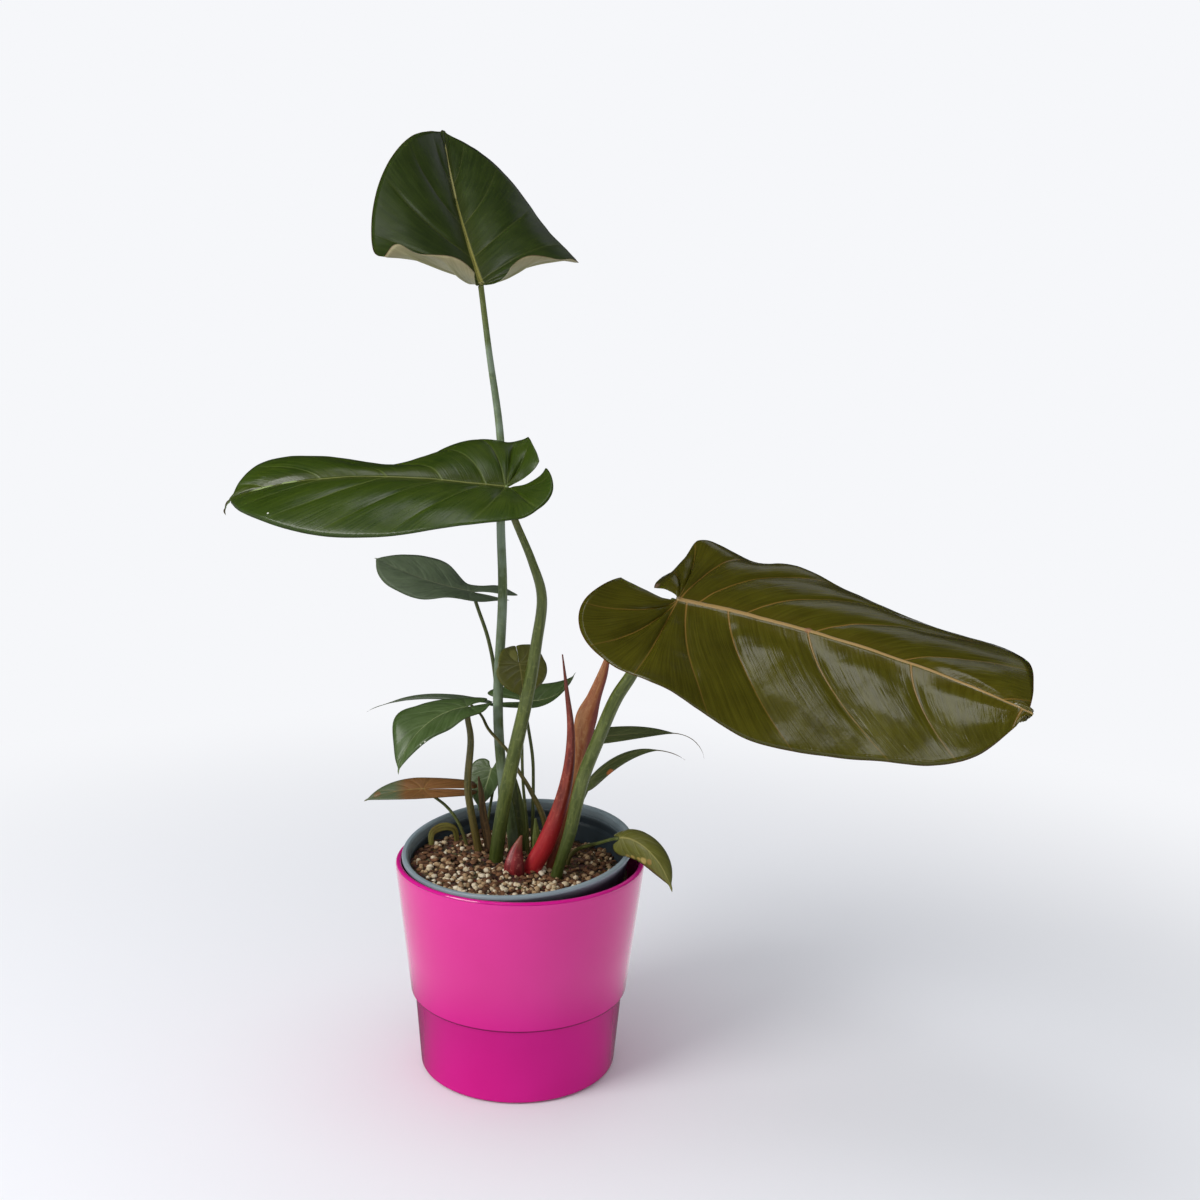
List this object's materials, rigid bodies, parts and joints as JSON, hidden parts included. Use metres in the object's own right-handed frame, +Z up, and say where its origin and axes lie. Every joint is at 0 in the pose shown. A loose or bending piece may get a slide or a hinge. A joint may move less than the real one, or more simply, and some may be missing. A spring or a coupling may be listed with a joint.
{
  "type": "potted philodendron",
  "caption": "Potted heart-leaved philodendron: glossy leaves on long stalks, rising from a plastic nursery pot that leans in a glazed stepped cover pot.",
  "frame": {"origin": "centre of the cover pot's flat bottom, which stands on a level surface", "axes": "+Z up, -Y towards the viewer of the plant's front, +X to the right seen from the front"},
  "size_m": [0.4595, 0.3504, 0.6136],
  "materials": {
    "glaze": "gloss",
    "nursery_plastic": "satin",
    "mix": "matte",
    "leaf_dark": "satin",
    "leaf_green": "satin",
    "leaf_olive": "gloss",
    "leaf_grey": "satin",
    "leaf_pale": "satin",
    "leaf_shaded": "satin",
    "leaf_bronze": "satin",
    "leaf_young": "satin",
    "stalk_glaucous": "satin",
    "stalk_green": "satin",
    "stalk_small": "satin",
    "sheath_red": "satin",
    "sheath_tan": "satin",
    "sheath_green": "matte",
    "sheath_brown": "matte",
    "sheath_dried": "matte"
  },
  "bodies": {
    "root": {"cachepot": "glaze", "nursery_pot": "nursery_plastic", "potting_mix": "mix", "blade_top": "leaf_dark", "petiole_top": "stalk_glaucous", "blade_left": "leaf_green", "petiole_left": "stalk_green", "blade_right": "leaf_olive", "petiole_right": "stalk_green", "blade_rear_left": "leaf_grey", "petiole_rear_left": "stalk_small", "blade_round": "leaf_pale", "petiole_round": "stalk_small", "blade_rear_middle": "leaf_shaded", "petiole_rear_middle": "stalk_small", "blade_low_left": "leaf_shaded", "petiole_low_left": "stalk_small", "blade_far_left": "leaf_grey", "petiole_far_left": "stalk_small", "blade_bronze": "leaf_bronze", "petiole_bronze": "stalk_small", "blade_inner": "leaf_shaded", "petiole_inner": "stalk_small", "blade_right_upper": "leaf_young", "petiole_right_upper": "stalk_small", "blade_right_lower": "leaf_young", "petiole_right_lower": "stalk_small", "blade_rim": "leaf_pale", "petiole_rim": "stalk_small", "cataphyll_red": "sheath_red", "new_leaf_sheath": "sheath_tan", "bract_red": "sheath_red", "crown_sheath": "sheath_green", "low_left_sheath": "sheath_brown", "green_sheath": "sheath_green", "dried_strip": "sheath_dried"}
  },
  "joints": []
}
